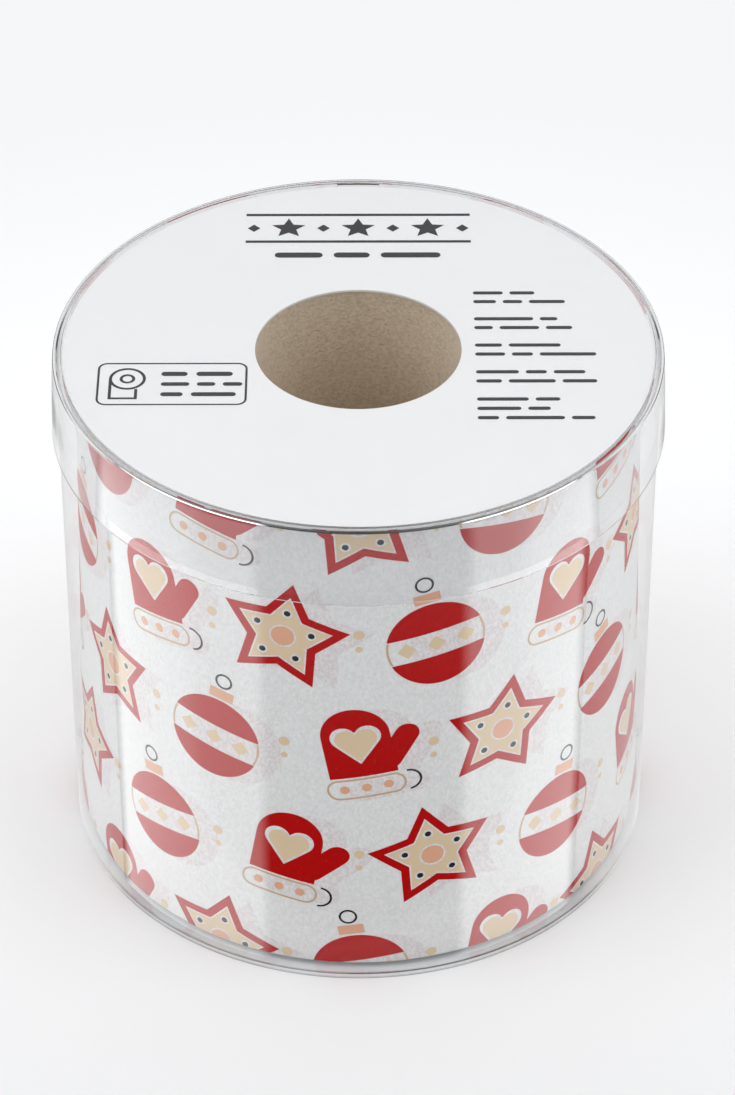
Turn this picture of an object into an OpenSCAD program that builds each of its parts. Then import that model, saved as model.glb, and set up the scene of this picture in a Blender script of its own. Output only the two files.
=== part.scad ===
// Printed toilet paper roll in a clear round drum with a press-on lid.
// Millimetres. The drum stands on Z = 0 with its axis on +Z. Its lap seam faces +Y, the back.

/* [Roll] */
// Outer radius of the paper roll
roll_r = 51.4; // [46:0.1:56]
// Height of the roll, which is the width of its paper
roll_h = 102.2; // [85:0.1:120]
// Outer radius of the card core
core_r = 19.6; // [17:0.1:24]
// Wall of the card core
core_wall = 0.8; // [0.5:0.1:1.5]
// Gap between the core and the first turn
core_clear = 0.05; // [0.03:0.01:0.2]
// Distance between the turn lines that show on the roll's ends
turn_pitch = 2; // [1.5:0.25:4]
// Depth of a turn line
turn_depth = 0.25; // [0.1:0.05:0.4]
// Step where the last sheet ends, at the roll's tail
tail_step = 0.3; // [0.15:0.05:0.5]

/* [Drum] */
// Thickness of the clear sheet that the drum and its lid are made of
sheet_t = 0.35; // [0.25:0.05:0.4]
// Play between the roll and the drum's wall
roll_play = 2.85; // [1.5:0.05:5]
// Outer radius of the curl that turns the wall in at the foot
foot_curl_r = 0.5; // [0.45:0.05:1.2]
// How much the curl is pressed flat where it stands
foot_press = 0.05; // [0.03:0.01:0.1]
// Play between the drum's floor disc and its wall
floor_play = 0.1; // [0.05:0.05:0.3]
// Width of the wall's glued lap seam, measured around the wall
lap_w = 8; // [5:0.5:15]

/* [Lid] */
// Gap between the drum's wall and the top of the lid's band
lid_clear = 0.15; // [0.1:0.05:0.3]
// Gap between the drum's rim and the lid's disc
rim_clear = 0.15; // [0.12:0.01:0.3]
// Depth of the lid's band, from its curl to its foot
band_depth = 14.8; // [8:0.2:25]
// How far the band's foot stands out from its top
band_flare = 0.7; // [0:0.1:1]
// Outer radius of the curl that turns the band over the lid's disc
lid_curl_r = 0.95; // [0.8:0.05:1.3]
// Angle through which the band is curled over
lid_curl_sweep = 135; // [120:5:145]
// Gap between the curl and the disc that it holds
disc_clear = 0.03; // [0.02:0.01:0.08]

/* [Label card] */
// Thickness of the label card
card_t = 0.5; // [0.3:0.05:0.8]
// Play between the label card and the wall's lap seam
card_play = 0.65; // [0.3:0.05:2]
// How far the card's edge stands in over the core's bore
card_lip = 0.2; // [0.1:0.1:1]
// Thickness of the thin rules and outlines printed on the card
rule_w = 0.4; // [0.3:0.05:0.6]

/* [Print] */
// Thickness of one layer of printed colour
ink_t = 0.08; // [0.05:0.01:0.08]
// Gap between a layer of colour and what it lies on
ink_gap = 0.02; // [0.01:0.01:0.03]
// Number of motifs around the roll, a multiple of three
motif_columns = 12; // [9:3:12]
// Least height from one row of motifs to the next, before the rows are spread over the roll
row_pitch = 25.5; // [25:0.1:32]
// Width of the thin printed outlines
outline_w = 0.4; // [0.3:0.05:0.6]
// Tilt of the motifs, to the left and right in turn
motif_tilt = 10; // [0:1:20]

/* [Hidden] */
$fn = 96;
overlap = 0.01;
through = 1;

clear_tone = [0.86, 0.9, 0.92, 0.35];
paper_tone = [0.96, 0.96, 0.96];
card_tone = [0.98, 0.98, 0.98];
kraft_tone = [0.66, 0.6, 0.52];
grey_tone = [0.3, 0.3, 0.31];
red_tone = [0.72, 0.04, 0.05];
beige_tone = [0.92, 0.83, 0.69];
peach_tone = [0.9, 0.66, 0.52];
tan_tone = [0.8, 0.7, 0.6];
line_tone = [0.16, 0.15, 0.16];

// Heights, from the table up
curl_z = foot_curl_r - foot_press;
floor_z = curl_z + foot_curl_r;
roll_z = floor_z + sheet_t;
card_z = roll_z + roll_h;
rim_z = card_z + card_t;
disc_z = rim_z + rim_clear;
curl_hollow = lid_curl_r - sheet_t;
disc_rise = curl_hollow * sin(lid_curl_sweep) - disc_clear;
band_z = disc_z + sheet_t - disc_rise;

// Radii, from the axis out
bore_r = core_r - core_wall;
card_hole_r = bore_r - card_lip;
drum_in_r = roll_r + roll_play;
drum_r = drum_in_r + sheet_t;
floor_r = drum_in_r - floor_play;
card_r = drum_in_r - sheet_t - card_play;
foot_r = drum_r - foot_curl_r;
band_in_r = drum_r + lid_clear;
band_r = band_in_r + sheet_t;
band_curl_r = band_r - lid_curl_r;
disc_r = band_curl_r + sqrt(curl_hollow * curl_hollow - disc_rise * disc_rise) - disc_clear;

// Printed motifs: brick rows from the roll's foot to its top, three kinds in turn
column_step = 360 / motif_columns;
row_gaps = floor(roll_h / row_pitch);
row_step = roll_h / row_gaps;
kinds = 3;
ink_reach = 3;
bare_w = 0.4;

// Bauble
ball_r = 9;
ball_y = -1.8;
sash_h = 5.4;
cap_size = [4.8, 2.2];
cap_y = ball_y + ball_r + bare_w;

// Mitten
cuff_h = 4.6;
cuff_w = 14.4;
cuff_y = -10.4;
cuff_corner_r = 2.2;
palm_w = 12.4;
palm_h = 9.4;
palm_y = cuff_y + cuff_h + bare_w;
heart_r = 2;
heart_y = palm_y + palm_h * 0.75;

// Star biscuit
points = 5;
star_r = 12;
star_notch_r = 6.6;
icing_r = 8.4;
icing_notch_r = 4.5;
button_r = 2.1;
dot_r = 0.6;
dot_ring_r = 5.2;

// Print on the card
ornament_y = 39;
ornament_size = [42, 9];
words_corner = [-15.5, 30];
text_corner = [21, 17.5];
block_step = 8.3;
line_step = 2.8;
mark_corner = [-46.6, -17.4];
mark_size = [26.8, 12.9];

// A curl of sheet seen from its end: outer radius r, between two angles counted from +X.
module curl_section(r, from, to) {
    far = 2 * r;
    steps = 4;
    intersection() {
        difference() {
            circle(r);
            circle(r - sheet_t);
        }
        polygon(concat([[0, 0]], [for (k = [0:steps])
            let (a = from + (to - from) * k / steps) far * [cos(a), sin(a)]]));
    }
}

module drum_wall() {
    lap_angle = lap_w / drum_r * 180 / PI;
    lap_z = roll_z + sheet_t;
    color(clear_tone) {
        rotate_extrude() {
            intersection() {
                translate([foot_r, curl_z]) mirror([0, 1]) curl_section(foot_curl_r, 0, 180);
                translate([foot_r - 2 * foot_curl_r, 0]) square(4 * foot_curl_r);
            }
            translate([foot_r - foot_curl_r, curl_z]) square([sheet_t, floor_z - curl_z]);
            translate([drum_in_r, curl_z]) square([sheet_t, rim_z - curl_z]);
        }
        rotate([0, 0, 90 - lap_angle / 2]) rotate_extrude(angle = lap_angle)
            translate([drum_in_r - sheet_t, lap_z]) square([sheet_t + overlap, rim_z - lap_z]);
    }
}

module drum_floor() {
    color(clear_tone) translate([0, 0, floor_z]) cylinder(r = floor_r, h = sheet_t);
}

module core_tube() {
    color(kraft_tone) translate([0, 0, roll_z]) difference() {
        cylinder(r = core_r, h = roll_h);
        translate([0, 0, -through]) cylinder(r = bore_r, h = roll_h + 2 * through);
    }
}

// The roll's turns are one solid, and the lines on its ends show how they lie.
module paper_roll() {
    first_turn_r = core_r + core_clear;
    turns = floor((roll_r - first_turn_r) / turn_pitch);
    tail_angle = 70;
    color(paper_tone) translate([0, 0, roll_z]) difference() {
        rotate_extrude() difference() {
            translate([first_turn_r, 0]) square([roll_r - first_turn_r, roll_h]);
            for (i = [1:turns - 1], z = [0, roll_h])
                translate([first_turn_r + i * turn_pitch, z]) rotate(45)
                    square(turn_depth * sqrt(2), center = true);
        }
        rotate([0, 0, tail_angle]) translate([roll_r - tail_step, 0, -through])
            cube([2 * tail_step, roll_r, roll_h + 2 * through]);
    }
}

module label_card() {
    color(card_tone) translate([0, 0, card_z]) difference() {
        cylinder(r = card_r, h = card_t);
        translate([0, 0, -through]) cylinder(r = card_hole_r, h = card_t + 2 * through);
    }
}

// Flat shapes that the prints are made of

module ring(r, width) {
    difference() {
        circle(r);
        circle(r - width);
    }
}

// A bar with round ends, its left end's centre at the origin
module bar(length, width) {
    translate([0, -width / 2]) square([length, width]);
    circle(width / 2);
    translate([length, 0]) circle(width / 2);
}

// A five-pointed star with one point up
module star(tip_r, notch_r) {
    polygon([for (k = [0:2 * points - 1])
        (k % 2 == 0 ? tip_r : notch_r) * [-sin(180 * k / points), cos(180 * k / points)]]);
}

// Two round lobes of radius r above a point
module heart(r) {
    for (s = [-1, 1]) translate([s * 0.92, 0.9] * r) circle(r);
    polygon([[-1.6, 0.3] * r, [0, -1.7] * r, [1.6, 0.3] * r, [0, 1.1] * r]);
}

module rounded_box(size, r) {
    translate([r, 0]) square([size.x - 2 * r, size.y]);
    translate([0, r]) square([size.x, size.y - 2 * r]);
    for (x = [r, size.x - r], y = [r, size.y - r]) translate([x, y]) circle(r);
}

module outline_box(size, r, width) {
    difference() {
        rounded_box(size, r);
        translate([width, width]) rounded_box(size - 2 * [width, width], r - width);
    }
}

// The roll's three motifs, each about its own centre, with one module for each of its inks

module bauble_sash() {
    translate([-ball_r - 1, ball_y - sash_h / 2]) square([2 * ball_r + 2, sash_h]);
}

module bauble_red() {
    difference() {
        translate([0, ball_y]) circle(ball_r);
        bauble_sash();
    }
}

module bauble_tan() {
    intersection() {
        translate([0, ball_y]) ring(ball_r, outline_w);
        translate([0, outline_w / 2]) bauble_sash();
        translate([0, -outline_w / 2]) bauble_sash();
    }
}

module bauble_beige() {
    gem_w = 2.4;
    gem_step = 5.4;
    for (i = [-1, 0, 1]) translate([i * gem_step, ball_y]) rotate(45) square(gem_w, center = true);
}

module bauble_peach() {
    translate([-cap_size.x / 2, cap_y]) square(cap_size);
}

module bauble_line() {
    hook_r = 1.7;
    translate([0, cap_y + cap_size.y + bare_w + hook_r]) ring(hook_r, outline_w);
}

module mitten_red() {
    thumb_length = 6.4;
    thumb_w = 4.4;
    thumb_lean = 52;
    difference() {
        union() {
            translate([-palm_w / 2, palm_y]) square([palm_w, palm_h]);
            translate([0, palm_y + palm_h]) circle(palm_w / 2);
            translate([palm_w / 2 - 1, palm_y + 3]) rotate(thumb_lean) bar(thumb_length, thumb_w);
        }
        translate([0, heart_y]) heart(heart_r + bare_w);
    }
}

module mitten_beige() {
    translate([0, heart_y]) heart(heart_r);
}

module mitten_tan() {
    translate([-cuff_w / 2, cuff_y]) outline_box([cuff_w, cuff_h], cuff_corner_r, outline_w);
}

module mitten_peach() {
    knob_r = 0.9;
    knob_step = 4;
    for (i = [-1, 0, 1]) translate([i * knob_step, cuff_y + cuff_h / 2]) circle(knob_r);
}

module mitten_line() {
    loop_r = 2.4;
    translate([cuff_w / 2 + bare_w, cuff_y + cuff_h / 2]) difference() {
        ring(loop_r, outline_w);
        translate([-2 * loop_r, -2 * loop_r]) square([2 * loop_r, 4 * loop_r]);
    }
}

module star_red() {
    difference() {
        star(star_r, star_notch_r);
        star(icing_r + 1.5 * bare_w, icing_notch_r + bare_w);
    }
}

module star_beige() {
    difference() {
        star(icing_r, icing_notch_r);
        circle(button_r + bare_w);
        star_dots(dot_r + bare_w);
    }
}

module star_peach() {
    circle(button_r);
}

module star_line() {
    star_dots(dot_r);
}

module star_dots(r) {
    for (k = [0:points - 1]) rotate(360 / points * k) translate([0, dot_ring_r]) circle(r);
}

module snow() {
    flake_r = 1;
    low_flake_r = 0.65;
    translate([0, 1.5]) circle(flake_r);
    translate([0, -1.7]) circle(low_flake_r);
}

// Lays one kind of motif on the roll wherever it comes in the pattern.
module each_place(kind) {
    for (row = [0:row_gaps], column = [0:motif_columns - 1])
        if ((column + 2 * row) % kinds == kind)
            rotate([0, 0, (column + (row % 2) / 2) * column_step])
                translate([0, -roll_r + ink_reach, roll_z + row * row_step]) rotate([90, 0, 0])
                    linear_extrude(2 * ink_reach) rotate(column % 2 == 0 ? motif_tilt : -motif_tilt)
                        children();
}

// The snow dots halfway between neighbouring motifs of a row
module each_gap() {
    for (row = [0:row_gaps], column = [0:motif_columns - 1])
        rotate([0, 0, (column + (row % 2) / 2 + 0.5) * column_step])
            translate([0, -roll_r + ink_reach, roll_z + row * row_step]) rotate([90, 0, 0])
                linear_extrude(2 * ink_reach) children();
}

// A layer of ink around the roll, in the shape of what it is given
module ink_layer() {
    intersection() {
        translate([0, 0, roll_z]) difference() {
            cylinder(r = roll_r + ink_gap + ink_t, h = roll_h);
            translate([0, 0, -through]) cylinder(r = roll_r + ink_gap, h = roll_h + 2 * through);
        }
        union() children();
    }
}

module print_red() {
    color(red_tone) ink_layer() {
        each_place(0) bauble_red();
        each_place(1) mitten_red();
        each_place(2) star_red();
    }
}

module print_beige() {
    color(beige_tone) ink_layer() {
        each_place(0) bauble_beige();
        each_place(1) mitten_beige();
        each_place(2) star_beige();
        each_gap() snow();
    }
}

module print_peach() {
    color(peach_tone) ink_layer() {
        each_place(0) bauble_peach();
        each_place(1) mitten_peach();
        each_place(2) star_peach();
    }
}

module print_tan() {
    color(tan_tone) ink_layer() {
        each_place(0) bauble_tan();
        each_place(1) mitten_tan();
    }
}

module print_line() {
    color(line_tone) ink_layer() {
        each_place(0) bauble_line();
        each_place(1) mitten_line();
        each_place(2) star_line();
    }
}

// What is printed on the card: an ornament, plain rules in the place of words, and a roll in a box.

module ornament() {
    star_step = 13;
    gem_w = 1.7;
    translate([0, ornament_y]) {
        for (s = [-1, 1]) translate([0, s * ornament_size.y / 2])
            square([ornament_size.x, 2 * rule_w], center = true);
        for (i = [-1, 0, 1]) translate([i * star_step, 0]) star(3.3, 1.5);
        for (i = [-1.5:1.5]) translate([i * star_step, 0]) rotate(45) square(gem_w, center = true);
    }
}

// Plain bars where words would stand: each row is a list of word lengths.
module word_bars(words, height) {
    gap = height * 1.2;
    for (i = [0:len(words) - 1]) {
        before = i == 0 ? 0 : sum_to(words, i - 1) + i * (gap + height);
        translate([before + height / 2, 0]) bar(words[i], height);
    }
}

function sum_to(list, last) = last < 0 ? 0 : list[last] + sum_to(list, last - 1);

module text_blocks() {
    rows = [
        [[4.5, 3.6], [3.2, 2.6, 5.6]],
        [[9.8, 2.2], [2.4, 6.2, 3.8]],
        [[3.9, 8.4], [4.4, 2.8, 9.2]],
        [[6.7, 2.8, 4.7], [3.6, 7.4, 5.2]],
        [[8.2, 3.4], [6.8, 3], [2.8, 9.4, 3.2]]
    ];
    for (b = [0:len(rows) - 1], l = [0:len(rows[b]) - 1])
        translate(text_corner - [0, b * block_step + l * line_step]) word_bars(rows[b][l], 1);
}

module roll_mark() {
    icon_r = 3.3;
    icon_bore_r = 1.4;
    line_w = 0.55;
    sheet_w = 5.2;
    sheet_h = 6.2;
    words_x = 11.4;
    translate(mark_corner) {
        outline_box(mark_size, 1.8, rule_w);
        translate([5.4, 8]) {
            ring(icon_r, line_w);
            ring(icon_bore_r, line_w);
            translate([-icon_r, -sheet_h]) {
                square([line_w, sheet_h]);
                square([sheet_w, line_w]);
                translate([sheet_w - line_w, 0]) square([line_w, sheet_h / 2]);
            }
        }
        translate([words_x, 9.5]) word_bars([3.4, 5.2], 1.3);
        translate([words_x, 6.4]) word_bars([4, 2.2, 2.4], 1.1);
        translate([words_x, 3.3]) word_bars([2.8, 6.8], 1.2);
    }
}

module label_print() {
    color(grey_tone) translate([0, 0, rim_z + ink_gap]) linear_extrude(ink_t) {
        ornament();
        translate(words_corner) word_bars([7.2, 5, 9.4], 1.7);
        text_blocks();
        roll_mark();
    }
}

module lid_band() {
    foot_z = band_z - band_depth;
    color(clear_tone) rotate_extrude() {
        translate([band_curl_r, band_z]) curl_section(lid_curl_r, 0, lid_curl_sweep);
        polygon([
            [band_in_r + band_flare, foot_z], [band_r + band_flare, foot_z],
            [band_r, band_z], [band_in_r, band_z]
        ]);
    }
}

module lid_disc() {
    color(clear_tone) translate([0, 0, disc_z]) cylinder(r = disc_r, h = sheet_t);
}

drum_wall();
drum_floor();
paper_roll();
core_tube();
label_card();
label_print();
print_red();
print_beige();
print_peach();
print_tan();
print_line();
lid_band();
lid_disc();
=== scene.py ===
import math

import bpy
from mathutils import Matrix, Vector
from mathutils.geometry import delaunay_2d_cdt


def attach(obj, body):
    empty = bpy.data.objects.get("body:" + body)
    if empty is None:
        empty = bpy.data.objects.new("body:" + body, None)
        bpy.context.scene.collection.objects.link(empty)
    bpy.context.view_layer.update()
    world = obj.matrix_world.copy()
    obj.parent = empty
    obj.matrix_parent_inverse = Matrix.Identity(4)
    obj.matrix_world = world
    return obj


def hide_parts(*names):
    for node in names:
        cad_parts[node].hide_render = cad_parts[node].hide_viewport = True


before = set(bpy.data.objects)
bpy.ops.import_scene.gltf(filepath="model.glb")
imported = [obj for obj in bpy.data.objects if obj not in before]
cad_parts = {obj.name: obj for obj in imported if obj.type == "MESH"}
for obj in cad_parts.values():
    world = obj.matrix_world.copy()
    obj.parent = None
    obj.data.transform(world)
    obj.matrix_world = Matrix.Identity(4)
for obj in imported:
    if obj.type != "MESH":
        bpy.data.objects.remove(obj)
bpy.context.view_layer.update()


# The camera stands in front of the drum and well above it, and looks down over the lid's near
# edge through a long lens, so the drum's sides stay nearly upright.

camera_at = Vector((0, -0.62585, 0.54505))
looked_at = Vector((0.00166, 0.00494, 0.05488))
camera_data = bpy.data.cameras.new("camera")
camera_data.lens = 139.56
camera_data.sensor_width = 36
camera_data.clip_start = 0.01
camera_data.clip_end = 20
camera = bpy.data.objects.new("camera", camera_data)
camera.location = camera_at
camera.rotation_mode = "QUATERNION"
camera.rotation_quaternion = (looked_at - camera_at).to_track_quat("-Z", "Y")
bpy.context.scene.collection.objects.link(camera)
bpy.context.scene.camera = camera
bpy.context.scene.view_settings.view_transform = "Standard"


# The table and the light. A wide pale table top, darker in front of the drum where its colour holds
# painted shade, under a large soft panel, with weaker panels on all four sides, in a room that is
# brighter at its sides. Glow cards close to the drum show only in reflections, and draw the upright
# bright strips on its wall.

MM = 0.001


def place(tree, kind, inputs=None, **settings):
    """Adds a shader node. Each of its inputs is given a value, or the socket that feeds it."""
    made = tree.nodes.new("ShaderNode" + kind)
    for name, value in settings.items():
        setattr(made, name, value)
    for key, value in (inputs or {}).items():
        if isinstance(value, bpy.types.NodeSocket):
            tree.links.new(value, made.inputs[key])
        else:
            made.inputs[key].default_value = value
    return made


def reckon(tree, operation, first, second=0.0):
    return place(tree, "Math", {0: first, 1: second}, operation=operation).outputs[0]


def spread(tree, value, low, high, to_low, to_high, kind="SMOOTHSTEP"):
    """Maps a value's range from low to high onto another range, and holds it there."""
    inputs = {"Value": value, "From Min": low, "From Max": high, "To Min": to_low, "To Max": to_high}
    return place(tree, "MapRange", inputs, interpolation_type=kind).outputs[0]


def new_material(name):
    material = bpy.data.materials.new(name)
    material.use_nodes = True
    material.node_tree.nodes.clear()
    return material, material.node_tree


def show(tree, shader):
    place(tree, "OutputMaterial", {"Surface": shader})


def build(name, corners, faces, material, crease=30):
    """Makes a mesh piece of corners in millimetres, smooth but for edges sharper than crease."""
    mesh = bpy.data.meshes.new(name)
    mesh.from_pydata([Vector(c) * MM for c in corners], [], faces)
    mesh.materials.append(material)
    mesh.shade_smooth()
    mesh.set_sharp_from_angle(angle=math.radians(crease))
    thing = bpy.data.objects.new(name, mesh)
    bpy.context.scene.collection.objects.link(thing)
    return thing


table_size = 4000
near_painted_shade_tone, far_tone = 0.775, 0.945
near_y, far_y = -0.17, 0.03
coolness = 0.01
backdrop_colour = (0.915, 0.925, 0.94, 1)
backdrop_from, backdrop_to = 0.09, 0.28

table_finish, tree = new_material("table_finish")
table_point = place(tree, "TexCoord").outputs["Object"]
on_table = place(tree, "SeparateXYZ", {0: table_point}).outputs
# The table's colour darkens from far_tone behind to a darker tone before the drum: painted shade in front
# of it.
tone = spread(tree, on_table["Y"], near_y, far_y, near_painted_shade_tone, far_tone)
table_colour = place(tree, "CombineColor", {
    0: reckon(tree, "MULTIPLY", tone, 1 - coolness), 1: tone,
    2: reckon(tree, "MULTIPLY", tone, 1 + coolness)})
lit = place(tree, "BsdfDiffuse", {"Color": table_colour.outputs[0], "Roughness": 0.3})

# In reflections the table shows a painted reflection: an emission in place of its lit surface, dark
# in front so that the print keeps its pure colours there, and pale beside and behind. Through the
# wall, only the strip before the drum shows this painted dark reflection.
mirror_front, mirror_side, mirror_back = 0.02, 0.9, 0.7
side_from, side_to = math.radians(48), math.radians(62)
back_from, back_to = math.radians(75), math.radians(112)
strip_start, strip_full, strip_fading, strip_end = -0.2, -0.19, -0.075, -0.065
from_front = reckon(tree, "ABSOLUTE", reckon(
    tree, "ARCTAN2", on_table["X"], reckon(tree, "MULTIPLY", on_table["Y"], -1.0)))
beside = spread(tree, from_front, side_from, side_to, mirror_front, mirror_side)
behind = spread(tree, from_front, back_from, back_to, 0.0, mirror_side - mirror_back)
# Painted reflection: an emission that the wall mirrors in place of the lit table.
painted_reflection = place(tree, "Emission", {
    "Color": (1, 1, 1, 1), "Strength": reckon(tree, "SUBTRACT", beside, behind)})
before_drum = reckon(
    tree, "MULTIPLY", spread(tree, on_table["Y"], strip_start, strip_full, 0.0, 1.0),
    spread(tree, on_table["Y"], strip_fading, strip_end, 1.0, 0.0))
path = place(tree, "LightPath").outputs
straight = reckon(tree, "SUBTRACT", 1.0, path["Is Transmission Ray"])
in_painted_reflection = reckon(tree, "MULTIPLY", path["Is Glossy Ray"], reckon(tree, "MAXIMUM", straight, before_drum))
lit_or_painted_reflection = place(tree, "MixShader", {0: in_painted_reflection, 1: lit.outputs[0], 2: painted_reflection.outputs[0]})

# Away from the drum, the table fades into the colour of the backdrop.
from_middle = place(tree, "VectorMath", {0: table_point}, operation="LENGTH").outputs["Value"]
far_off = spread(tree, from_middle, backdrop_from, backdrop_to, 0.0, 1.0)
seen = reckon(tree, "MAXIMUM", path["Is Camera Ray"], path["Is Transmission Ray"])
pale = place(tree, "Emission", {"Color": backdrop_colour, "Strength": 1.0})
show(tree, place(tree, "MixShader", {
    0: reckon(tree, "MULTIPLY", far_off, seen), 1: lit_or_painted_reflection.outputs[0],
    2: pale.outputs[0]}).outputs[0])

half = table_size / 2
table = build("table", [(-half, -half, 0), (half, -half, 0), (half, half, 0), (-half, half, 0)],
              [(0, 1, 2, 3)], table_finish)


def soft_panel(name, at, size, strength):
    """A lamp of even light, turned to the drum. Its strength is the brightness of its face."""
    drum_middle = Vector((0, 0, 0.05))
    lamp = bpy.data.lights.new(name, "AREA")
    lamp.shape = "RECTANGLE"
    lamp.size, lamp.size_y = size
    lamp.energy = strength * math.pi * size[0] * size[1]
    panel = bpy.data.objects.new(name, lamp)
    panel.location = at
    panel.rotation_mode = "QUATERNION"
    panel.rotation_quaternion = (drum_middle - Vector(at)).to_track_quat("-Z", "Y")
    panel.visible_camera = False
    panel.visible_glossy = False
    panel.visible_transmission = False
    bpy.context.scene.collection.objects.link(panel)


soft_panel("panel_above", (0, 0, 1.2), (1.3, 1.3), 1.3)
soft_panel("panel_back", (0, 1.1, 0.8), (1.4, 0.7), 0.9)
soft_panel("panel_left", (-0.9, -0.3, 0.85), (0.8, 0.8), 1.75)
soft_panel("panel_right", (0.9, -0.3, 0.85), (0.8, 0.8), 1.35)
soft_panel("panel_front", (0, -1.2, 0.9), (0.9, 0.8), 0.72)

middle_light, side_light = 0.05, 0.95
low_from, low_to = 0.1, 0.25

world = bpy.data.worlds.new("room")
world.use_nodes = True
room = world.node_tree
room.nodes.clear()
direction = place(room, "SeparateXYZ", {0: place(room, "TexCoord").outputs["Generated"]}).outputs
sideways = reckon(room, "ABSOLUTE", direction["X"])
room_light = place(room, "Background", {
    "Color": (0.99, 0.995, 1, 1),
    "Strength": spread(room, sideways, 0.0, 1.0, middle_light, side_light, "LINEAR")})
backdrop = place(room, "Background", {"Color": backdrop_colour, "Strength": 1.0})
path = place(room, "LightPath").outputs
low_down = spread(room, direction["Z"], low_from, low_to, 1.0, 0.0)
seen = reckon(room, "MAXIMUM", path["Is Camera Ray"],
              reckon(room, "MULTIPLY", path["Is Transmission Ray"], low_down))
place(room, "OutputWorld", {"Surface": place(room, "MixShader", {
    0: seen, 1: room_light.outputs[0], 2: backdrop.outputs[0]}).outputs[0]})
bpy.context.scene.world = world


def glow_card(name, first, last, strength):
    """A bent card beside the drum, between two angles from the front, that fades at both ends and
    where it is seen from its edge."""
    card_r, foot, top, steps, fade = 56.7, 0.3, 103, 24, 3.5
    slant_from, slant_to = 0.6, 0.82
    finish, tree = new_material(name)
    where = place(tree, "SeparateXYZ", {0: place(tree, "TexCoord").outputs["Object"]}).outputs
    angle = reckon(tree, "ARCTAN2", where["X"], reckon(tree, "MULTIPLY", where["Y"], -1.0))
    rising = spread(tree, angle, math.radians(first), math.radians(first + fade), 0.0, strength)
    falling = spread(tree, angle, math.radians(last - fade), math.radians(last), 1.0, 0.0)
    facing = place(tree, "LayerWeight", {"Blend": 0.5}).outputs["Facing"]
    head_on = spread(tree, facing, slant_from, slant_to, 1.0, 0.0)
    level = reckon(tree, "MULTIPLY", reckon(tree, "MULTIPLY", rising, falling), head_on)
    show(tree, place(tree, "Emission", {"Color": (1, 1, 1, 1), "Strength": level}).outputs[0])
    corners = []
    for i in range(steps + 1):
        a = math.radians(first + (last - first) * i / steps)
        for z in (foot, top):
            corners.append((card_r * math.sin(a), -card_r * math.cos(a), z))
    faces = [(2 * i, 2 * i + 2, 2 * i + 3, 2 * i + 1) for i in range(steps)]
    card = build(name, corners, faces, finish)
    card.visible_camera = False
    card.visible_diffuse = False
    card.visible_transmission = False
    card.visible_shadow = False


glow_card("glow_left", -58, -17.5, 2.4)
glow_card("glow_right", 19.3, 50.5, 2.6)
glow_card("glow_back_left", -160, -125, 2.1)
glow_card("glow_back_right", 130, 158, 2.1)


# The drum's wall. Clear polyester sheet rolled to a tube and glued along a lap seam at the back.
# Its foot is curled inwards under heat, and the pressed curl is what the drum stands on.


def arc(centre, radius, first, last, steps=10):
    """Points on an arc, between two angles in degrees."""
    points = []
    for i in range(steps + 1):
        a = math.radians(first + (last - first) * i / steps)
        points.append((centre[0] + radius * math.cos(a), centre[1] + radius * math.sin(a)))
    return points


def turned(name, outline_at, material, steps=288, extra=(), crease=30):
    """Turns a closed outline of (radius, height) about the axis. The outline may change with the angle."""
    angles = sorted([360 * i / steps for i in range(steps)] + list(extra))
    corners, rings = [], []
    for angle in angles:
        a = math.radians(angle)
        ring = []
        for n, (r, z) in enumerate(outline_at(angle)):
            if r == 0 and rings:
                ring.append(rings[0][n])
                continue
            ring.append(len(corners))
            corners.append((r * math.sin(a), -r * math.cos(a), z))
        rings.append(ring)
    faces = []
    for here, there in zip(rings, rings[1:] + rings[:1]):
        for n in range(len(here)):
            m = (n + 1) % len(here)
            face = []
            for corner in (here[n], there[n], there[m], here[m]):
                if corner not in face:
                    face.append(corner)
            if len(face) > 2:
                faces.append(face)
    return build(name, corners, faces, material, crease)


foot_from, foot_to, rim_from, rim_to = 0.004, 0.012, 0.092, 0.1
longest_path = 7.5

clear_sheet, tree = new_material("clear_sheet")
coords = place(tree, "TexCoord").outputs["Object"]
slow_waves = place(tree, "TexNoise", {"Vector": coords, "Scale": 22.0, "Detail": 1.0})
above_table = place(tree, "SeparateXYZ", {0: coords}).outputs["Z"]
off_curls = reckon(tree, "MULTIPLY", spread(tree, above_table, foot_from, foot_to, 0.0, 1.0),
                   spread(tree, above_table, rim_from, rim_to, 1.0, 0.0))
wave = reckon(tree, "MULTIPLY", reckon(tree, "SUBTRACT", slow_waves.outputs["Fac"], 0.5), off_curls)
sheet_normal = place(tree, "Bump", {"Height": wave, "Strength": 0.2, "Distance": 0.0012})
smudges = place(tree, "TexNoise", {"Vector": coords, "Scale": 70.0, "Detail": 5.0, "Roughness": 0.7})
smudge = spread(tree, smudges.outputs["Fac"], 0.5, 0.8, 0.0, 0.05)
sheet = place(tree, "BsdfPrincipled", {
    "Base Color": (0.972, 0.974, 0.978, 1), "Roughness": smudge, "IOR": 1.5,
    "Transmission Weight": 1.0, "Normal": sheet_normal.outputs[0],
})
let_through = place(tree, "BsdfTransparent", {"Color": (0.96, 0.963, 0.965, 1)})
path = place(tree, "LightPath").outputs
lit_through = reckon(tree, "MAXIMUM", path["Is Shadow Ray"], path["Is Diffuse Ray"])
# A ray led along inside the sheet for too long goes straight on. Cut short, it would turn edges black.
led_along = reckon(tree, "GREATER_THAN", path["Ray Depth"], longest_path)
lit_through = reckon(tree, "MAXIMUM", lit_through, led_along)
show(tree, place(tree, "MixShader", {
    0: lit_through, 1: sheet.outputs[0], 2: let_through.outputs[0]}).outputs[0])

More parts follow.
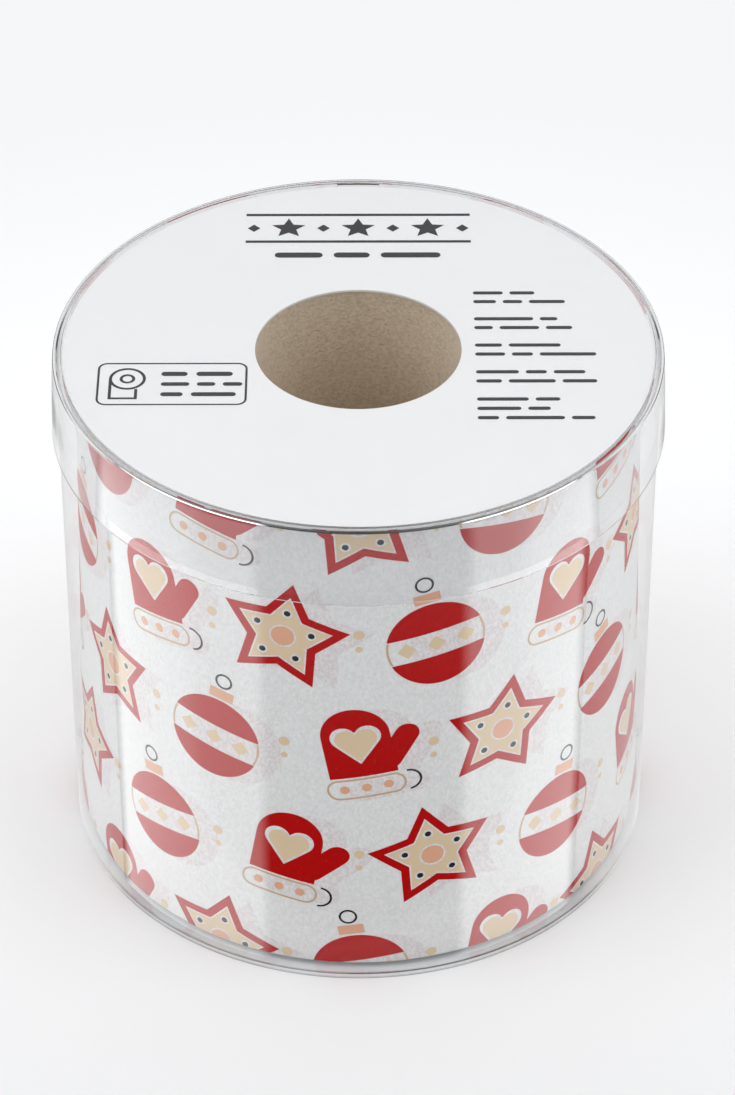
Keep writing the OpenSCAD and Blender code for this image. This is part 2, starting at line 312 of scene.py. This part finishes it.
sheet_t = 0.35
drum_r = 54.6
drum_in_r = drum_r - sheet_t
rim_z = 104.0
foot_curl_r, curl_z = 0.5, 0.45
foot_r = drum_r - foot_curl_r
floor_z = curl_z + foot_curl_r
lap_foot_z, lap_foot_step = 1.65, 0.05
lap_w, lap_angle = 8, 180
lap_half = math.degrees(lap_w / 2 / drum_r)


def wall_outline(angle):
    inner_r = drum_in_r - sheet_t if abs(angle - lap_angle) < lap_half else drum_in_r
    under = [(r, max(z, 0)) for r, z in arc((foot_r, curl_z), foot_curl_r, 180, 360, 16)]
    inside = arc((foot_r, curl_z), foot_curl_r - sheet_t, 360, 180, 12)
    lap_end = [(inner_r, rim_z), (inner_r, lap_foot_z), (drum_in_r, lap_foot_z - lap_foot_step)]
    curl_end = [(foot_r - foot_curl_r + sheet_t, floor_z), (foot_r - foot_curl_r, floor_z)]
    return under + [(drum_r, rim_z)] + lap_end + inside + curl_end


lap_edges = [lap_angle + side * lap_half + step for side in (-1, 1) for step in (-0.02, 0.02)]
drum_wall = turned("clear_wall", wall_outline, clear_sheet, extra=lap_edges)
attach(drum_wall, "drum")
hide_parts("drum_wall")


# The drum's floor. A clear disc of the same sheet. It is dropped into the tube onto the curl, and
# carries the roll.

floor_play = 0.1
floor_disc_r = drum_in_r - floor_play


def flat_disc(radius, low, high):
    bevel = 0.04
    return lambda angle: [
        (0, low), (radius - bevel, low), (radius, low + bevel),
        (radius, high - bevel), (radius - bevel, high), (0, high),
    ]


drum_floor = turned("clear_floor", flat_disc(floor_disc_r, floor_z, floor_z + sheet_t), clear_sheet)
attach(drum_floor, "drum")
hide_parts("drum_floor")


# The core. A tube of grey-brown kraft board, wound from two plies and glued, with short dark and
# pale fibres in it. The tissue is wound on it.

roll_z, roll_h = 1.3, 102.2
core_r, bore_r = 19.6, 18.8


def mixed(tree, factor, first, second):
    """The colour between two colours, by a factor from 0 to 1."""
    mix = place(tree, "Mix", {0: factor, 6: first, 7: second}, data_type="RGBA")
    return mix.outputs[2]


def new_group(name, inputs, outputs):
    """A shader node group with named number inputs, and outputs given as name: kind."""
    group = bpy.data.node_groups.new(name, "ShaderNodeTree")
    for socket, value in inputs.items():
        made = group.interface.new_socket(socket, in_out="INPUT", socket_type="NodeSocketFloat")
        made.default_value = value
    for socket, kind in outputs.items():
        group.interface.new_socket(socket, in_out="OUTPUT", socket_type="NodeSocket" + kind)
    return group, group.nodes.new("NodeGroupInput").outputs, group.nodes.new("NodeGroupOutput").inputs


def use_group(tree, group, **values):
    made = place(tree, "Group", node_tree=group)
    for name, value in values.items():
        made.inputs[name.replace("_", " ")].default_value = value
    return made.outputs


fibre_grain, given, result = new_group(
    "fibre_grain", {"Scale": 1500.0, "Stretch": 0.5, "Cloud scale": 160.0},
    {"Height": "Float", "Tone": "Float"})
coords = place(fibre_grain, "TexCoord").outputs["Object"]
flatten = place(fibre_grain, "CombineXYZ", {0: 1.0, 1: 1.0, 2: given["Stretch"]})
drawn = place(fibre_grain, "VectorMath", {0: coords, 1: flatten.outputs[0]}, operation="MULTIPLY")
fine = place(fibre_grain, "TexNoise", {
    "Vector": drawn.outputs[0], "Scale": given["Scale"], "Detail": 3.0, "Roughness": 0.6})
cloud = place(fibre_grain, "TexNoise", {
    "Vector": drawn.outputs[0], "Scale": given["Cloud scale"], "Detail": 4.0, "Roughness": 0.65})
fibre_grain.links.new(
    reckon(fibre_grain, "ADD", reckon(fibre_grain, "MULTIPLY", fine.outputs["Fac"], 0.7),
           reckon(fibre_grain, "MULTIPLY", cloud.outputs["Fac"], 0.3)), result["Height"])
fibre_grain.links.new(
    reckon(fibre_grain, "ADD", reckon(fibre_grain, "MULTIPLY", fine.outputs["Fac"], 0.4),
           reckon(fibre_grain, "MULTIPLY", cloud.outputs["Fac"], 0.6)), result["Tone"])

kraft_board, tree = new_material("kraft_board")
grain = use_group(tree, fibre_grain, Scale=2400.0, Stretch=1.4, Cloud_scale=1300.0)
mottle = spread(tree, grain["Tone"], 0.36, 0.62, 0.0, 1.0)
board_colour = mixed(tree, mottle, (0.585, 0.48, 0.355, 1), (0.81, 0.685, 0.535, 1))
coords = place(tree, "TexCoord").outputs["Object"]
dark_fibres, pale_fibres = (38, (0.3, 0.23, 0.17, 1), 0.45), (-52, (0.86, 0.76, 0.64, 1), 0.4)
for lean, fibre, strength in (dark_fibres, pale_fibres):
    turn = place(tree, "Mapping", {
        "Vector": coords, "Rotation": (0, math.radians(lean), 0), "Scale": (900, 900, 3600)})
    strokes = place(tree, "TexNoise", {"Vector": turn.outputs[0], "Scale": 1.0, "Detail": 1.0})
    stroke = spread(tree, strokes.outputs["Fac"], 0.63, 0.7, 0.0, strength)
    board_colour = mixed(tree, stroke, board_colour, fibre)
board_normal = place(tree, "Bump", {"Height": grain["Height"], "Strength": 0.7, "Distance": 0.0002})
board = place(tree, "BsdfPrincipled", {
    "Base Color": board_colour, "Roughness": 0.85, "Specular IOR Level": 0.25, "Sheen Weight": 0.8,
    "Sheen Roughness": 0.5, "Sheen Tint": (1.0, 0.9, 0.8, 1), "Normal": board_normal.outputs[0]})
show(tree, board.outputs[0])


def core_outline(angle):
    low, high, soft = roll_z, roll_z + roll_h, 0.12
    return [
        (bore_r + soft, low), (core_r - soft, low), (core_r, low + soft), (core_r, high - soft),
        (core_r - soft, high), (bore_r + soft, high), (bore_r, high - soft), (bore_r, low + soft),
    ]


core_tube = turned("kraft_core", core_outline, kraft_board, steps=144)
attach(core_tube, "drum")
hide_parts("core_tube")


# The roll of paper. Soft white creped tissue wound on the core, its cut ends showing the turns and
# its last sheet ending in a small step at the back.

roll_r = 51.4
first_turn_r = 19.65
tail_angle, tail_step, tail_run = 160, 0.3, 70
paper_white = (0.935, 0.93, 0.925, 1)
paper_shade = (0.84, 0.834, 0.828, 1)
pale_print = (0.66, 0.42, 0.43, 1)


def tissue_finish(name, tint_low=0.0, tint_high=0.0):
    """Creped tissue. Its tint is how far the print on the plies beneath colours it, grain by grain."""
    material, tree = new_material(name)
    grain = use_group(tree, fibre_grain, Scale=2200.0, Stretch=0.7, Cloud_scale=1600.0)
    shade = spread(tree, grain["Tone"], 0.4, 0.6, 1.0, 0.0)
    colour = mixed(tree, shade, paper_white, paper_shade)
    if tint_high:
        tint = spread(tree, grain["Tone"], 0.42, 0.58, tint_high, tint_low)
        colour = mixed(tree, tint, colour, pale_print)
    normal = place(tree, "Bump", {"Height": grain["Height"], "Strength": 0.8, "Distance": 0.0003})
    shader = place(tree, "BsdfPrincipled", {
        "Base Color": colour, "Roughness": 0.95, "Specular IOR Level": 0.15,
        "Sheen Weight": 0.1, "Normal": normal.outputs[0]})
    show(tree, shader.outputs[0])
    return material


def paper_r(angle):
    """The roll's outer radius, which falls by one sheet past the tail and creeps up again."""
    past = (angle - tail_angle) % 360
    return roll_r - tail_step * max(0, 1 - past / tail_run)


def roll_outline(angle):
    low, high, r = roll_z, roll_z + roll_h, paper_r(angle)
    turn, ridge, soft = 1.0, 0.06, 0.35
    count = int((r - soft - first_turn_r) / turn)
    radii = [first_turn_r + i * turn for i in range(count)]
    bottom = [(q, low + ridge * (i % 2)) for i, q in enumerate(radii)]
    top = [(q, high - ridge * (i % 2)) for i, q in enumerate(radii)]
    side_steps = 6
    side = [(r, low + soft + (roll_h - 2 * soft) * i / side_steps) for i in range(side_steps + 1)]
    return bottom + [(r - soft, low)] + side + [(r - soft, high)] + top[::-1]


tail_edges = (tail_angle - 0.01, tail_angle + 0.03)
paper_roll = turned("tissue_roll", roll_outline, tissue_finish("tissue"), steps=240, extra=tail_edges)
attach(paper_roll, "drum")
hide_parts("paper_roll")


# The print on the paper. Baubles, mittens and star biscuits with snow between them, printed on the
# plies in five inks. Each ink is one skin over the roll, cut where another ink or the bare paper
# takes its place. Print on the ply beneath shows through as a pale tint beside each motif.

ink_colours = {
    "red": (0.52, 0.002, 0.002, 1),
    "beige": (0.82, 0.64, 0.43, 1),
    "peach": (0.84, 0.45, 0.29, 1),
    "tan": (0.66, 0.46, 0.3, 1),
    "line": (0.03, 0.026, 0.03, 1),
}
bare = "bare"
bare_w = 0.4
outline_w = 0.4
motif_tilt = 10
motif_columns, row_count = 12, 5
column_step = 360 / motif_columns
row_step = roll_h / (row_count - 1)
ink_rise = 0.03


def circle(x, y, r, steps=40):
    return [(x + r * math.cos(2 * math.pi * i / steps), y + r * math.sin(2 * math.pi * i / steps))
            for i in range(steps)]


def clamped(points, low, high):
    return [(x, min(max(y, low), high)) for x, y in points]


def box(x, y, w, h):
    return [(x, y), (x + w, y), (x + w, y + h), (x, y + h)]


def diamond(x, y, side):
    reach = side / math.sqrt(2)
    return [(x + reach, y), (x, y + reach), (x - reach, y), (x, y - reach)]


def rounded_box(x, y, w, h, r, steps=8):
    points = []
    for corner, (cx, cy) in enumerate(((w - r, h - r), (r, h - r), (r, r), (w - r, r))):
        for i in range(steps + 1):
            a = math.radians(90 * (corner + i / steps))
            points.append((x + cx + r * math.cos(a), y + cy + r * math.sin(a)))
    return points


def bar(x, y, length, width, lean=0.0, steps=10):
    """A bar with round ends. Its left end's centre is at x, y, and it leans by an angle in degrees."""
    c, s, points = math.cos(math.radians(lean)), math.sin(math.radians(lean)), []
    for shift, first in ((length, -90), (0, 90)):
        for i in range(steps + 1):
            a = math.radians(first + 180 * i / steps)
            u, v = shift + width / 2 * math.cos(a), width / 2 * math.sin(a)
            points.append((x + c * u - s * v, y + s * u + c * v))
    return points


def star(x, y, tip_r, notch_r, points=5):
    around = []
    for k in range(2 * points):
        a = math.pi * k / points
        r = notch_r if k % 2 else tip_r
        around.append((x - r * math.sin(a), y + r * math.cos(a)))
    return around


def heart(y, r):
    """Two round lobes of radius r above a point, as one outline."""
    lobe_x, lobe_y, steps = 0.92 * r, 0.9 * r, 16
    right = [(lobe_x + r * math.cos(a), y + lobe_y + r * math.sin(a))
             for a in [math.radians(-38 + (151 + 38) * i / steps) for i in range(steps + 1)]]
    left = [(-px, py) for px, py in reversed(right)]
    return [(0, y - 1.7 * r)] + right + left


ball_r, ball_y, sash_h = 9, -1.8, 5.4
cap_w, cap_h = 4.8, 2.2
cap_y = ball_y + ball_r + bare_w
hook_r = 1.7
hook_y = cap_y + cap_h + bare_w + hook_r
sash_low, sash_high = ball_y - sash_h / 2, ball_y + sash_h / 2
lap = 0.2
bauble = [
    ("red", circle(0, ball_y, ball_r, 72)),
    (bare, clamped(circle(0, ball_y, ball_r + lap, 72), sash_low, sash_high)),
    ("tan", clamped(circle(0, ball_y, ball_r, 72), sash_low + lap, sash_high - lap)),
    (bare, clamped(circle(0, ball_y, ball_r - outline_w, 72), sash_low + lap / 2, sash_high - lap / 2)),
    *[("beige", diamond(x, ball_y, 2.4)) for x in (-5.4, 0, 5.4)],
    ("peach", box(-cap_w / 2, cap_y, cap_w, cap_h)),
    ("line", circle(0, hook_y, hook_r)),
    (bare, circle(0, hook_y, hook_r - outline_w)),
]

cuff_w, cuff_h, cuff_y, cuff_corner_r = 14.4, 4.6, -10.4, 2.2
palm_w, palm_h = 12.4, 9.4
palm_y = cuff_y + cuff_h + bare_w
heart_r, heart_y = 2, palm_y + palm_h * 0.75
loop_r, loop_x, loop_y = 2.4, cuff_w / 2 + bare_w, cuff_y + cuff_h / 2


def half_round(x, y, r, steps=20):
    return [(x + r * math.cos(a), y + r * math.sin(a))
            for a in [math.radians(-90 + 180 * i / steps) for i in range(steps + 1)]]


mitten = [
    ("red", box(-palm_w / 2, palm_y, palm_w, palm_h)),
    ("red", circle(0, palm_y + palm_h, palm_w / 2, 60)),
    ("red", bar(palm_w / 2 - 1, palm_y + 3, 6.4, 4.4, lean=52)),
    (bare, heart(heart_y, heart_r + bare_w)),
    ("beige", heart(heart_y, heart_r)),
    ("tan", rounded_box(-cuff_w / 2, cuff_y, cuff_w, cuff_h, cuff_corner_r)),
    (bare, rounded_box(-cuff_w / 2 + outline_w, cuff_y + outline_w, cuff_w - 2 * outline_w,
                       cuff_h - 2 * outline_w, cuff_corner_r - outline_w)),
    *[("peach", circle(x, loop_y, 0.9, 24)) for x in (-4, 0, 4)],
    ("line", half_round(loop_x, loop_y, loop_r)),
    (bare, half_round(loop_x - 0.01, loop_y, loop_r - outline_w)),
]

button_r, dot_r, dot_ring_r = 2.1, 0.6, 5.2
dots = [(-dot_ring_r * math.sin(a), dot_ring_r * math.cos(a))
        for a in [2 * math.pi * k / 5 for k in range(5)]]
tip_r, notch_r = 8.4, 4.5
star_biscuit = [
    ("red", star(0, 0, 12, 6.6)),
    (bare, star(0, 0, tip_r + 1.5 * bare_w, notch_r + bare_w)),
    ("beige", star(0, 0, tip_r, notch_r)),
    (bare, circle(0, 0, button_r + bare_w)),
    ("peach", circle(0, 0, button_r)),
    *[(bare, circle(x, y, dot_r + bare_w, 20)) for x, y in dots],
    *[("line", circle(x, y, dot_r, 16)) for x, y in dots],
]

snow = [("beige", circle(0, 1.5, 1, 24)), ("beige", circle(0, -1.7, 0.65, 20))]


def cut_inks(shapes, guides=()):
    """Splits overlapping outlines into triangles. Where outlines overlap, the last one gives the ink."""
    corners, edges, outlines = [], [], []
    for ink, outline in shapes:
        outlines.append(list(range(len(corners), len(corners) + len(outline))))
        corners += [Vector(p) for p in outline]
    for first, last in guides:
        edges.append((len(corners), len(corners) + 1))
        corners += [Vector(first), Vector(last)]
    points, _, triangles, _, _, covered_by = delaunay_2d_cdt(corners, edges, outlines, 0, 1e-5, True)
    by_ink = {}
    for triangle, covers in zip(triangles, covered_by):
        ink = shapes[max(covers)][0] if covers else bare
        if ink != bare:
            by_ink.setdefault(ink, []).append(triangle)
    return points, by_ink


def laid_on_roll(shapes, tilt, angle, height, rise):
    """Cuts a motif's inks, and lays them on the paper at an angle from the front and a height."""
    c, s = math.cos(math.radians(tilt)), math.sin(math.radians(tilt))
    leaning = [(ink, [(c * x - s * y, s * x + c * y) for x, y in outline]) for ink, outline in shapes]
    reach, bend, end_gap = 15, 1.5, 0.3
    lines = int(reach / bend)
    guides = [((i * bend, -reach), (i * bend, reach)) for i in range(-lines, lines + 1)]
    lowest, highest = roll_z + end_gap - height, roll_z + roll_h - end_gap - height
    for level in (lowest, highest):
        if -reach < level < reach:
            guides.append(((-reach, level), (reach, level)))
    points, by_ink = cut_inks(leaning, guides)
    laid = []
    for x, y in points:
        a = angle + math.degrees(math.asin(x / roll_r))
        r = paper_r(a) + rise
        laid.append((r * math.sin(math.radians(a)), -r * math.cos(math.radians(a)), height + y))
    on_paper = {}
    for ink, triangles in by_ink.items():
        on_paper[ink] = [t for t in triangles if lowest < sum(points[k][1] for k in t) / 3 < highest]
    return laid, on_paper


def gather(patches):
    """Joins patches of one ink into one list of corners and faces, without corners that no face uses."""
    corners, faces = [], []
    for points, triangles in patches:
        new_place = {}
        for triangle in triangles:
            for k in triangle:
                if k not in new_place:
                    new_place[k] = len(corners)
                    corners.append(points[k])
            faces.append([new_place[k] for k in triangle])
    return corners, faces


def ink_finish(name, colour, depth=0.16):
    """Ink in paper: the paper's own grain, with its pale fibres here and there in the colour."""
    material, tree = new_material(name)
    grain = use_group(tree, fibre_grain, Scale=2200.0, Stretch=0.7, Cloud_scale=1600.0)
    thin = spread(tree, grain["Tone"], 0.55, 0.75, 0.0, 0.04)
    inked = mixed(tree, thin, colour, paper_white)
    normal = place(tree, "Bump", {"Height": grain["Height"], "Strength": 0.6, "Distance": depth * MM})
    shader = place(tree, "BsdfPrincipled", {
        "Base Color": inked, "Roughness": 0.95, "Specular IOR Level": 0.04, "Normal": normal.outputs[0]})
    show(tree, shader.outputs[0])
    return material


beneath = "beneath"
beneath_aside = math.degrees(4.2 / roll_r)
patches = {ink: [] for ink in [beneath, *ink_colours]}
motifs = [bauble, mitten, star_biscuit]
for row in range(row_count):
    height = roll_z + row * row_step
    for column in range(motif_columns):
        angle = (column + (row % 2) / 2) * column_step
        lean = motif_tilt if column % 2 == 0 else -motif_tilt
        motif = motifs[(column + 2 * row) % len(motifs)]
        one_turn_down = [(beneath, outline) for ink, outline in motif if ink in ("red", "tan")]
        for shapes, tilt, at, rise in (
                (one_turn_down, lean, angle + beneath_aside, ink_rise / 3),
                (motif, lean, angle, ink_rise), (snow, 0, angle + column_step / 2, ink_rise)):
            points, by_ink = laid_on_roll(shapes, tilt, at, height, rise)
            for ink, triangles in by_ink.items():
                patches[ink].append((points, triangles))

tissue_tinted = tissue_finish("tissue_tinted", tint_low=0.1, tint_high=0.27)
shown_through = build("printed_beneath", *gather(patches[beneath]), tissue_tinted)
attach(shown_through, "drum")

for ink, colour in ink_colours.items():
    corners, faces = gather(patches[ink])
    printed = build("printed_" + ink, corners, faces, ink_finish("ink_" + ink, colour))
    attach(printed, "drum")
    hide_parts("print_" + ink)


# The label card. Smooth white card, punched out as a disc with a hole over the core. It lies loose
# on the roll's end.

card_z, card_t = roll_z + roll_h, 0.5
card_r, card_hole_r = 53.25, 18.6

white_card, tree = new_material("white_card")
grain = use_group(tree, fibre_grain, Scale=2600.0, Stretch=1.0, Cloud_scale=90.0)
mottle = spread(tree, grain["Tone"], 0.3, 0.7, 0.0, 1.0)
card_colour = mixed(tree, mottle, (0.925, 0.925, 0.928, 1), (0.945, 0.945, 0.948, 1))
card_normal = place(tree, "Bump", {"Height": grain["Height"], "Strength": 0.15, "Distance": 0.00005})
card = place(tree, "BsdfPrincipled", {
    "Base Color": card_colour, "Roughness": 0.6, "Specular IOR Level": 0.35,
    "Normal": card_normal.outputs[0]})
show(tree, card.outputs[0])


def card_outline(angle):
    low, high, soft = card_z, card_z + card_t, 0.06
    return [
        (card_hole_r + soft, low), (card_r - soft, low), (card_r, low + soft), (card_r, high - soft),
        (card_r - soft, high), (card_hole_r + soft, high),
        (card_hole_r, high - soft), (card_hole_r, low + soft),
    ]


label_card = turned("label_disc", card_outline, white_card)
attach(label_card, "drum")
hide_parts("label_card")


# The print on the card. Dark grey ink: an ornament between two rules, plain bars where words would
# stand, and a small drawing of a roll in a box.

rule_w = 0.4
grey = "grey"


def word_bars(x, y, words, height):
    """Bars with round ends in a row, one for each length in words."""
    row = []
    for length in words:
        row.append((grey, bar(x + height / 2, y, length, height)))
        x += length + height * 2.2
    return row


ornament_y, ornament_w, ornament_h, star_step = 39, 42, 9, 13
star_tip_r, star_notch_r, diamond_w = 3.3, 1.5, 1.7
ornament = []
for side in (-1, 1):
    rule_y = ornament_y + side * ornament_h / 2 - rule_w
    ornament.append((grey, box(-ornament_w / 2, rule_y, ornament_w, 2 * rule_w)))
for i in (-1, 0, 1):
    ornament.append((grey, star(i * star_step, ornament_y, star_tip_r, star_notch_r)))
for i in (-1.5, -0.5, 0.5, 1.5):
    ornament.append((grey, diamond(i * star_step, ornament_y, diamond_w)))

text_x, text_y, text_h = 21, 17.5, 1
text_rows = [
    [[4.5, 3.6], [3.2, 2.6, 5.6]],
    [[9.8, 2.2], [2.4, 6.2, 3.8]],
    [[3.9, 8.4], [4.4, 2.8, 9.2]],
    [[6.7, 2.8, 4.7], [3.6, 7.4, 5.2]],
    [[8.2, 3.4], [6.8, 3], [2.8, 9.4, 3.2]],
]
block_step, line_step = 8.3, 2.8
card_marks = ornament + word_bars(-15.5, 30, [7.2, 5, 9.4], 1.7)
for block, lines in enumerate(text_rows):
    for line, words in enumerate(lines):
        card_marks += word_bars(text_x, text_y - block * block_step - line * line_step, words, text_h)

mark_x, mark_y, mark_w, mark_h, mark_corner_r = -46.6, -17.4, 26.8, 12.9, 1.8
icon_r, icon_bore_r, icon_line_w = 3.3, 1.4, 0.55
icon_x, icon_y = mark_x + 5.4, mark_y + 8
sheet_w, sheet_h = 5.2, 6.2
card_marks += [
    (grey, rounded_box(mark_x, mark_y, mark_w, mark_h, mark_corner_r)),
    (bare, rounded_box(mark_x + rule_w, mark_y + rule_w, mark_w - 2 * rule_w, mark_h - 2 * rule_w,
                       mark_corner_r - rule_w)),
    (grey, box(icon_x - icon_r, icon_y - sheet_h, sheet_w, icon_line_w)),
    (grey, box(icon_x - icon_r, icon_y - sheet_h, icon_line_w, sheet_h)),
    (grey, box(icon_x - icon_r + sheet_w - icon_line_w, icon_y - sheet_h, icon_line_w, sheet_h / 2)),
    (grey, circle(icon_x, icon_y, icon_r)),
    (bare, circle(icon_x, icon_y, icon_r - icon_line_w)),
    (grey, circle(icon_x, icon_y, icon_bore_r)),
    (bare, circle(icon_x, icon_y, icon_bore_r - icon_line_w)),
]
words_x = mark_x + 11.4
for words_y, words, words_h in ((9.5, [3.4, 5.2], 1.3), (6.4, [4, 2.2, 2.4], 1.1), (3.3, [2.8, 6.8], 1.2)):
    card_marks += word_bars(words_x, mark_y + words_y, words, words_h)

points, by_ink = cut_inks(card_marks)
marks_rise = 0.02
marks_z = card_z + card_t + marks_rise
corners, faces = gather([([(x, y, marks_z) for x, y in points], by_ink[grey])])
grey_ink = ink_finish("ink_grey", (0.075, 0.075, 0.08, 1), depth=0.02)
label_print = build("label_marks", corners, faces, grey_ink)
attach(label_print, "drum")
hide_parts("label_print")


# The lid. A disc of clear sheet held by a band that is curled over its edge under heat. The band
# flares a little towards its foot, so that it slides down over the drum's rim.

disc_z, disc_r = 104.15, 54.56
band_z, band_r, band_depth, band_flare = 104.106, 55.1, 14.8, 0.7
lid_curl_r, lid_curl_sweep = 0.95, 135
band_curl_r = band_r - lid_curl_r


def band_outline(angle):
    over = arc((band_curl_r, band_z), lid_curl_r, 0, lid_curl_sweep, 14)
    back = arc((band_curl_r, band_z), lid_curl_r - sheet_t, lid_curl_sweep, 0, 12)
    outside, inside, steps, flare_bend = [], [], 10, 0.7
    for i in range(steps):
        share = 1 - i / steps
        r = band_r + band_flare * share ** flare_bend
        z = band_z - band_depth * share
        outside.append((r, z))
        inside.append((r - sheet_t, z))
    return outside + over + back + inside[::-1]


lid_band = turned("lid_ring", band_outline, clear_sheet)
lid_disc = turned("lid_window", flat_disc(disc_r, disc_z, disc_z + sheet_t), clear_sheet)
for lid_piece, node in ((lid_band, "lid_band"), (lid_disc, "lid_disc")):
    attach(lid_piece, "lid")
    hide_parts(node)
